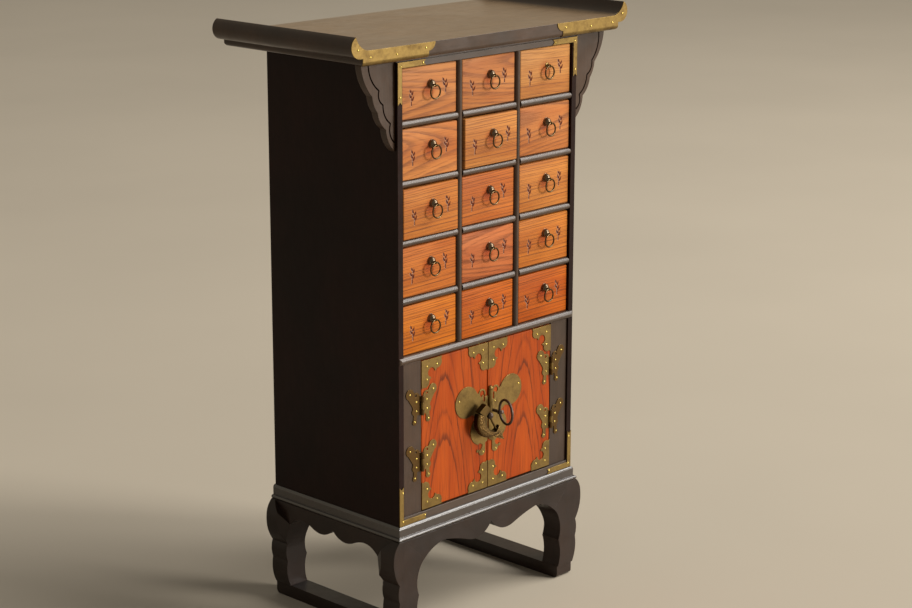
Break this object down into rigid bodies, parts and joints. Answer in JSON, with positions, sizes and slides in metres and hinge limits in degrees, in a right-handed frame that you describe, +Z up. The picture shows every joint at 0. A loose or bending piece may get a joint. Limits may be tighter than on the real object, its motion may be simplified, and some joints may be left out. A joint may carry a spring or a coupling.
{
  "type": "apothecary chest on a stand",
  "caption": "Lacquered apothecary chest with rows of small ring-pull drawers over a two-door compartment, scroll-ended top, scalloped stand on runners, brass trim and a fish-shaped padlock.",
  "frame": {"origin": "middle of the whole chest's box, on the floor", "axes": "+X to the right seen from the front, -Y out of the front, +Z up"},
  "size_m": [0.544, 0.3014, 0.8486],
  "materials": {
    "lacquer": "satin, very dark brown lacquer",
    "drawer_wood": "satin, orange-tan, ring-porous grain along the width",
    "door_wood": "satin, red-orange, bold upright grain",
    "brass": "aged, dull",
    "iron": "dark brown patina"
  },
  "bodies": {
    "case": {"side_boards": "lacquer", "back_board": "lacquer", "ceiling_board": "lacquer", "top_rail": "lacquer", "drawer_shelves": "lacquer", "column_dividers": "lacquer", "case_shelves": "lacquer", "flank_panels": "lacquer", "top_board": "lacquer", "scroll_ends": "lacquer", "top_layer": "lacquer", "brackets": "lacquer", "stand_moulding": "lacquer", "aprons": "lacquer", "legs": "lacquer", "runners": "lacquer", "top_caps": "brass", "corner_straps": "brass", "hinge_frame_leaves": "brass"},
    "left_door": {"left_door": "door_wood", "left_door_plates": "brass", "left_lock_plate": "brass"},
    "padlock": {"left_staple": "iron", "fish_lock": "brass"},
    "lock_bolt": {"fish_lock_bolt": "brass"},
    "right_door": {"right_door": "door_wood", "right_door_plates": "brass", "right_lock_plate": "brass", "right_staple": "iron"},
    "door_ring": {"door_ring": "iron"},
    "drawer_1_left": {"drawer_1_left": "drawer_wood"},
    "ring_1_left": {"ring_1_left": "brass"},
    "drawer_1_middle": {"drawer_1_middle": "drawer_wood"},
    "ring_1_middle": {"ring_1_middle": "brass"},
    "drawer_1_right": {"drawer_1_right": "drawer_wood"},
    "ring_1_right": {"ring_1_right": "brass"},
    "drawer_2_left": {"drawer_2_left": "drawer_wood"},
    "ring_2_left": {"ring_2_left": "brass"},
    "drawer_2_middle": {"drawer_2_middle": "drawer_wood"},
    "ring_2_middle": {"ring_2_middle": "brass"},
    "drawer_2_right": {"drawer_2_right": "drawer_wood"},
    "ring_2_right": {"ring_2_right": "brass"},
    "drawer_3_left": {"drawer_3_left": "drawer_wood"},
    "ring_3_left": {"ring_3_left": "brass"},
    "drawer_3_middle": {"drawer_3_middle": "drawer_wood"},
    "ring_3_middle": {"ring_3_middle": "brass"},
    "drawer_3_right": {"drawer_3_right": "drawer_wood"},
    "ring_3_right": {"ring_3_right": "brass"},
    "drawer_4_left": {"drawer_4_left": "drawer_wood"},
    "ring_4_left": {"ring_4_left": "brass"},
    "drawer_4_middle": {"drawer_4_middle": "drawer_wood"},
    "ring_4_middle": {"ring_4_middle": "brass"},
    "drawer_4_right": {"drawer_4_right": "drawer_wood"},
    "ring_4_right": {"ring_4_right": "brass"},
    "drawer_5_left": {"drawer_5_left": "drawer_wood"},
    "ring_5_left": {"ring_5_left": "brass"},
    "drawer_5_middle": {"drawer_5_middle": "drawer_wood"},
    "ring_5_middle": {"ring_5_middle": "brass"},
    "drawer_5_right": {"drawer_5_right": "drawer_wood"},
    "ring_5_right": {"ring_5_right": "brass"}
  },
  "joints": [
    {"name": "left_door_hinge", "type": "hinge", "parent": "case", "child": "left_door", "pos_m": [-0.1332, -0.10568, 0.2875], "axis": [0, 0, -1], "range_deg": [0, 165]},
    {"name": "right_door_hinge", "type": "hinge", "parent": "case", "child": "right_door", "pos_m": [0.1332, -0.10568, 0.2875], "axis": [0, 0, 1], "range_deg": [0, 165]},
    {"name": "padlock_swing", "type": "hinge", "parent": "left_door", "child": "padlock", "pos_m": [-0.0105, -0.11598, 0.2925], "axis": [0, -1, 0], "range_deg": [-30, 36]},
    {"name": "lock_bolt_slide", "type": "slide", "parent": "padlock", "child": "lock_bolt", "axis": [-0.515, 0, 0.8572], "range_m": [0, 0.036]},
    {"name": "door_ring_swing", "type": "hinge", "parent": "right_door", "child": "door_ring", "pos_m": [0.0115, -0.11598, 0.2925], "axis": [0.0695, 0.2317, 0.9703], "range_deg": [-14, 100]},
    {"name": "drawer_1_left_slide", "type": "slide", "parent": "case", "child": "drawer_1_left", "axis": [0, -1, 0], "range_m": [0, 0.2]},
    {"name": "ring_1_left_swing", "type": "hinge", "parent": "drawer_1_left", "child": "ring_1_left", "pos_m": [-0.113, -0.11098, 0.7704], "axis": [-1, 0, 0], "range_deg": [-25, 120]},
    {"name": "drawer_1_middle_slide", "type": "slide", "parent": "case", "child": "drawer_1_middle", "axis": [0, -1, 0], "range_m": [0, 0.2]},
    {"name": "ring_1_middle_swing", "type": "hinge", "parent": "drawer_1_middle", "child": "ring_1_middle", "pos_m": [0.003, -0.11098, 0.7704], "axis": [-1, 0, 0], "range_deg": [-25, 120]},
    {"name": "drawer_1_right_slide", "type": "slide", "parent": "case", "child": "drawer_1_right", "axis": [0, -1, 0], "range_m": [0, 0.2]},
    {"name": "ring_1_right_swing", "type": "hinge", "parent": "drawer_1_right", "child": "ring_1_right", "pos_m": [0.119, -0.10738, 0.7704], "axis": [-1, 0, 0], "range_deg": [-12, 120]},
    {"name": "drawer_2_left_slide", "type": "slide", "parent": "case", "child": "drawer_2_left", "axis": [0, -1, 0], "range_m": [-0.002, 0.198]},
    {"name": "ring_2_left_swing", "type": "hinge", "parent": "drawer_2_left", "child": "ring_2_left", "pos_m": [-0.113, -0.11298, 0.6904], "axis": [-1, 0, 0], "range_deg": [-25, 120]},
    {"name": "drawer_2_middle_slide", "type": "slide", "parent": "case", "child": "drawer_2_middle", "axis": [0, -1, 0], "range_m": [-0.0055, 0.1945]},
    {"name": "ring_2_middle_swing", "type": "hinge", "parent": "drawer_2_middle", "child": "ring_2_middle", "pos_m": [0.003, -0.11648, 0.6904], "axis": [-1, 0, 0], "range_deg": [-25, 120]},
    {"name": "drawer_2_right_slide", "type": "slide", "parent": "case", "child": "drawer_2_right", "axis": [0, -1, 0], "range_m": [0, 0.2]},
    {"name": "ring_2_right_swing", "type": "hinge", "parent": "drawer_2_right", "child": "ring_2_right", "pos_m": [0.119, -0.11098, 0.6904], "axis": [-1, 0, 0], "range_deg": [-25, 120]},
    {"name": "drawer_3_left_slide", "type": "slide", "parent": "case", "child": "drawer_3_left", "axis": [0, -1, 0], "range_m": [-0.004, 0.196]},
    {"name": "ring_3_left_swing", "type": "hinge", "parent": "drawer_3_left", "child": "ring_3_left", "pos_m": [-0.113, -0.11498, 0.6104], "axis": [-1, 0, 0], "range_deg": [-25, 120]},
    {"name": "drawer_3_middle_slide", "type": "slide", "parent": "case", "child": "drawer_3_middle", "axis": [0, -1, 0], "range_m": [0, 0.2]},
    {"name": "ring_3_middle_swing", "type": "hinge", "parent": "drawer_3_middle", "child": "ring_3_middle", "pos_m": [0.003, -0.11098, 0.6104], "axis": [-1, 0, 0], "range_deg": [-25, 120]},
    {"name": "drawer_3_right_slide", "type": "slide", "parent": "case", "child": "drawer_3_right", "axis": [0, -1, 0], "range_m": [0, 0.2]},
    {"name": "ring_3_right_swing", "type": "hinge", "parent": "drawer_3_right", "child": "ring_3_right", "pos_m": [0.119, -0.11098, 0.6104], "axis": [-1, 0, 0], "range_deg": [-25, 120]},
    {"name": "drawer_4_left_slide", "type": "slide", "parent": "case", "child": "drawer_4_left", "axis": [0, -1, 0], "range_m": [0, 0.2]},
    {"name": "ring_4_left_swing", "type": "hinge", "parent": "drawer_4_left", "child": "ring_4_left", "pos_m": [-0.113, -0.11098, 0.5304], "axis": [-1, 0, 0], "range_deg": [-25, 120]},
    {"name": "drawer_4_middle_slide", "type": "slide", "parent": "case", "child": "drawer_4_middle", "axis": [0, -1, 0], "range_m": [0, 0.2]},
    {"name": "ring_4_middle_swing", "type": "hinge", "parent": "drawer_4_middle", "child": "ring_4_middle", "pos_m": [0.003, -0.11098, 0.5304], "axis": [-1, 0, 0], "range_deg": [-25, 120]},
    {"name": "drawer_4_right_slide", "type": "slide", "parent": "case", "child": "drawer_4_right", "axis": [0, -1, 0], "range_m": [0, 0.2]},
    {"name": "ring_4_right_swing", "type": "hinge", "parent": "drawer_4_right", "child": "ring_4_right", "pos_m": [0.119, -0.11098, 0.5304], "axis": [-1, 0, 0], "range_deg": [-25, 120]},
    {"name": "drawer_5_left_slide", "type": "slide", "parent": "case", "child": "drawer_5_left", "axis": [0, -1, 0], "range_m": [0, 0.2]},
    {"name": "ring_5_left_swing", "type": "hinge", "parent": "drawer_5_left", "child": "ring_5_left", "pos_m": [-0.113, -0.11098, 0.4504], "axis": [-1, 0, 0], "range_deg": [-25, 120]},
    {"name": "drawer_5_middle_slide", "type": "slide", "parent": "case", "child": "drawer_5_middle", "axis": [0, -1, 0], "range_m": [0, 0.2]},
    {"name": "ring_5_middle_swing", "type": "hinge", "parent": "drawer_5_middle", "child": "ring_5_middle", "pos_m": [0.003, -0.11098, 0.4504], "axis": [-1, 0, 0], "range_deg": [-25, 120]},
    {"name": "drawer_5_right_slide", "type": "slide", "parent": "case", "child": "drawer_5_right", "axis": [0, -1, 0], "range_m": [0, 0.2]},
    {"name": "ring_5_right_swing", "type": "hinge", "parent": "drawer_5_right", "child": "ring_5_right", "pos_m": [0.119, -0.11098, 0.4504], "axis": [-1, 0, 0], "range_deg": [-25, 120]}
  ],
  "couplings": [
    {"joint": "right_door_hinge", "follows": "left_door_hinge", "ratio": 1}
  ]
}
